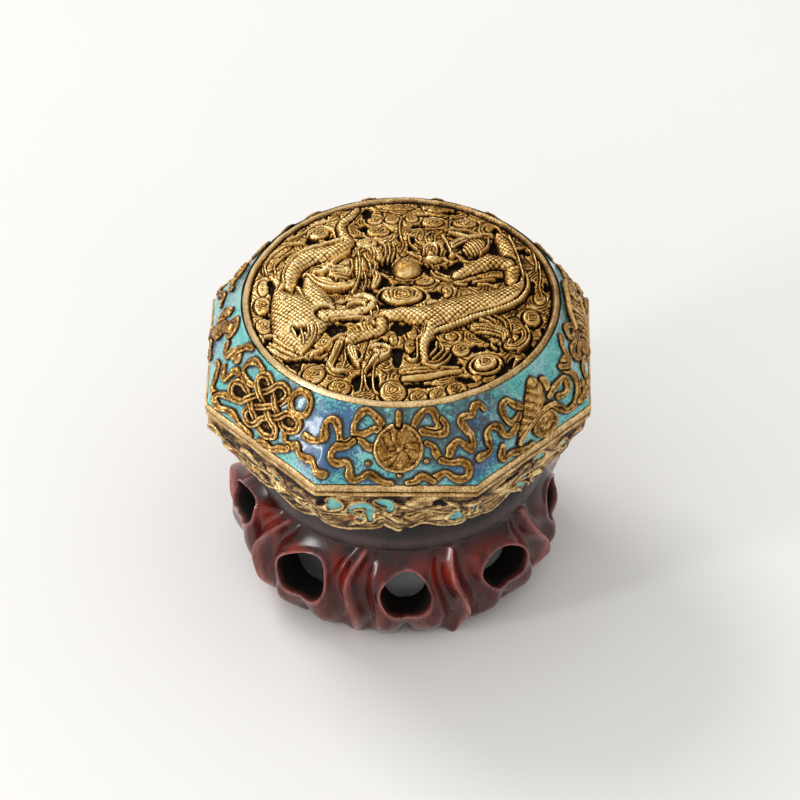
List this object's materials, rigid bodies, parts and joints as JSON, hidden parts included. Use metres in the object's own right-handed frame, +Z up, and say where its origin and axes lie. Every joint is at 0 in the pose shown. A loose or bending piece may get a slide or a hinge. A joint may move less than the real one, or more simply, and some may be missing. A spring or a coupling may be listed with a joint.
{
  "type": "bronze seal paste box",
  "caption": "Octagonal cast bronze seal paste box with enamel panels, a dragon medallion on its lift-off lid and a pierced, carved wooden stand.",
  "frame": {"origin": "on the ground under the middle of the box, where the feet of the stand rest", "axes": "+Z up through the box; the side of the box with the wheel emblem faces -Y, and +X is to its right"},
  "size_m": [0.07, 0.072, 0.0613],
  "materials": {
    "enamel": "glossy turquoise enamel with cobalt and purple clouds",
    "gilt_bronze": "worn gilding over dark cast bronze",
    "wood": "polished dark red hardwood"
  },
  "bodies": {
    "root": {"lid": "enamel", "box_body": "gilt_bronze", "stand": "wood"}
  },
  "joints": []
}
